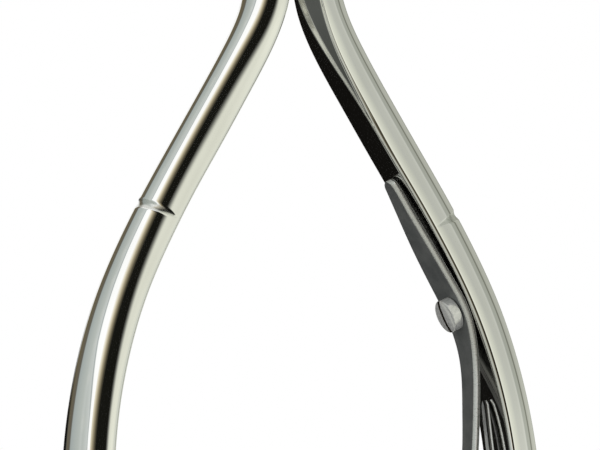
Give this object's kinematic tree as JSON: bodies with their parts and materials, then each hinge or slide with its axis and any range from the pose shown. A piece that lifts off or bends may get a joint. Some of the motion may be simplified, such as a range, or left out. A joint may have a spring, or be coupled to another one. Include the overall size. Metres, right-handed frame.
{
  "type": "nail nippers",
  "caption": "Hand nail nippers with a lap joint, bowed half-round handles, ring notches and a screwed leaf spring that holds them open",
  "frame": {"origin": "on the pivot axis, midway through the joint's thickness", "axes": "+Z towards the jaws, -Z towards the handle ends, Y along the pivot axis with the screw head at -Y, the half that carries the spring on +X below the joint"},
  "size_m": [0.0616, 0.0082, 0.1126],
  "materials": {
    "polished_steel": "mirror-polished stainless steel",
    "spring_steel": "satin grey spring steel with ground bevels and a blasted edge",
    "helper_steel": "thin ground spring steel",
    "screw_steel": "turned steel, lightly polished"
  },
  "bodies": {
    "fixed_half": {"right_half": "polished_steel", "pivot_screw": "screw_steel", "leaf_spring": "spring_steel", "helper_leaf": "helper_steel", "spring_screw": "screw_steel", "helper_screw": "screw_steel"},
    "moving_half": {"left_half": "polished_steel"}
  },
  "joints": [
    {"name": "pivot_hinge", "type": "hinge", "parent": "fixed_half", "child": "moving_half", "pos_m": [0, 0, 0], "axis": [0, -1, 0], "range_deg": [0, 14], "stiffness_Nm_per_rad": 1.5, "springref_deg": -2.86, "deforming": ["leaf_spring"]}
  ]
}
